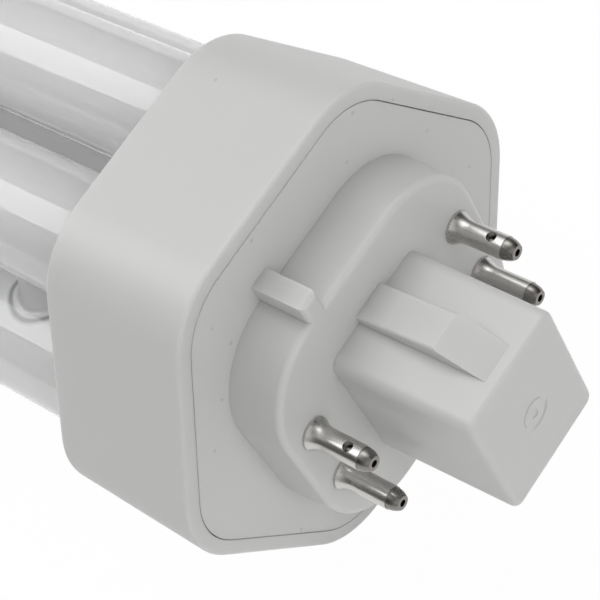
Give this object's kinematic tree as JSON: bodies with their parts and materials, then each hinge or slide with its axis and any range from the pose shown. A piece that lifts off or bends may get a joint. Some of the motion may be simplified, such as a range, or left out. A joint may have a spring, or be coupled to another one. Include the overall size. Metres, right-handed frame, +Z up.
{
  "type": "triple tube compact fluorescent lamp",
  "caption": "Triple tube compact fluorescent lamp with a hexagonal holder, a square post and four hollow contact pins.",
  "frame": {"origin": "on the surface that the lamp lies on, below the middle of its length", "axes": "+X along the lamp towards the cap's post, +Z up, +Y across towards the two open-ended limbs' right side"},
  "size_m": [0.1312, 0.049, 0.045],
  "materials": {
    "coated_glass": "gloss over a white inner coating",
    "white_plastic": "satin moulded",
    "plated_metal": "satin nickel plate",
    "cement": "matte",
    "wire": "drawn"
  },
  "bodies": {
    "root": {"discharge_vessel": "coated_glass", "tube_holder": "white_plastic", "base_cap": "white_plastic", "tube_cement": "cement", "contact_pin_1": "plated_metal", "contact_pin_2": "plated_metal", "contact_pin_3": "plated_metal", "contact_pin_4": "plated_metal", "lead_wire_1": "wire", "lead_wire_2": "wire", "lead_wire_3": "wire", "lead_wire_4": "wire"}
  },
  "joints": []
}
